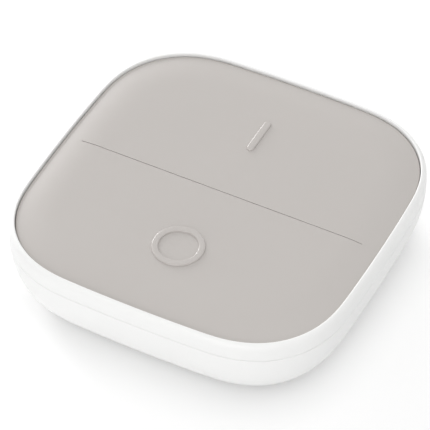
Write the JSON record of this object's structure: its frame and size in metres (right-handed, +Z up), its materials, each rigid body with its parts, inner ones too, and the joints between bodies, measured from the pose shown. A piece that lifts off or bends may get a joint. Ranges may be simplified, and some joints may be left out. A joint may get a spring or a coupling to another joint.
{
  "type": "smart button",
  "caption": "Rounded square battery button: a grey two-key cover with a raised bar and a raised ring, in a white case with rolled sides and a battery door below.",
  "frame": {"origin": "on the resting plane, below the middle of the case", "axes": "+X along the slit between the keys, +Y towards the key with the bar (on), +Z up"},
  "size_m": [0.074, 0.074, 0.0187],
  "materials": {
    "case_white": "satin moulded, light",
    "cover_grey": "fine matt texture",
    "deck_grey": "satin moulded",
    "foot_rubber": "matt",
    "board_green": "solder mask over glass fibre",
    "screw_steel": "zinc plated",
    "tinned_steel": "tin plated",
    "spring_steel": "nickel plated wire",
    "black_plastic": "moulded",
    "cell_sleeve": "plain sleeve on a filled can",
    "chip_black": "moulded package",
    "ceramic": "fired ceramic"
  },
  "bodies": {
    "case": {"upper_frame": "case_white", "cover_bridges": "cover_grey", "switch_deck": "deck_grey", "lower_housing": "case_white", "rubber_feet": "foot_rubber", "housing_screws": "screw_steel", "circuit_board": "board_green", "board_screws": "screw_steel", "switch_pins": "tinned_steel", "on_switch_base": "black_plastic", "on_switch_dome": "spring_steel", "on_switch_plate": "tinned_steel", "off_switch_base": "black_plastic", "off_switch_dome": "spring_steel", "off_switch_plate": "tinned_steel", "module_board": "board_green", "shield_can": "tinned_steel", "radio_chip": "chip_black", "crystal": "tinned_steel", "regulator": "chip_black", "capacitors": "ceramic", "resistors": "chip_black", "cell_a_can": "cell_sleeve", "cell_b_can": "cell_sleeve", "cell_caps": "tinned_steel", "positive_contact": "tinned_steel", "negative_contact": "tinned_steel", "link_contact": "tinned_steel", "negative_spring": "spring_steel", "link_spring": "spring_steel"},
    "on_key": {"on_key": "cover_grey"},
    "off_key": {"off_key": "cover_grey"},
    "on_switch_plunger": {"on_switch_plunger": "black_plastic"},
    "off_switch_plunger": {"off_switch_plunger": "black_plastic"},
    "battery_door": {"battery_door": "case_white"}
  },
  "joints": [
    {"name": "on_press", "type": "hinge", "parent": "case", "child": "on_key", "pos_m": [0, 0.001, 0.0169], "axis": [-1, 0, 0], "range_deg": [0, 1], "stiffness_Nm_per_rad": 1, "springref_deg": -0.29},
    {"name": "on_plunger_travel", "type": "slide", "parent": "case", "child": "on_switch_plunger", "axis": [0, 0, -1], "range_m": [0, 0.0003], "deforming": ["on_switch_dome"]},
    {"name": "off_press", "type": "hinge", "parent": "case", "child": "off_key", "pos_m": [0, -0.001, 0.0169], "axis": [1, 0, 0], "range_deg": [0, 1], "stiffness_Nm_per_rad": 1, "springref_deg": -0.29},
    {"name": "off_plunger_travel", "type": "slide", "parent": "case", "child": "off_switch_plunger", "axis": [0, 0, -1], "range_m": [0, 0.0003], "deforming": ["off_switch_dome"]},
    {"name": "door_hinge", "type": "hinge", "parent": "case", "child": "battery_door", "pos_m": [-0.0256, 0, 0.0005], "axis": [0, 1, 0], "range_deg": [0, 70]}
  ],
  "couplings": [
    {"joint": "on_plunger_travel", "follows": "on_press", "m_per_rad": 0.016},
    {"joint": "off_plunger_travel", "follows": "off_press", "m_per_rad": 0.016}
  ]
}
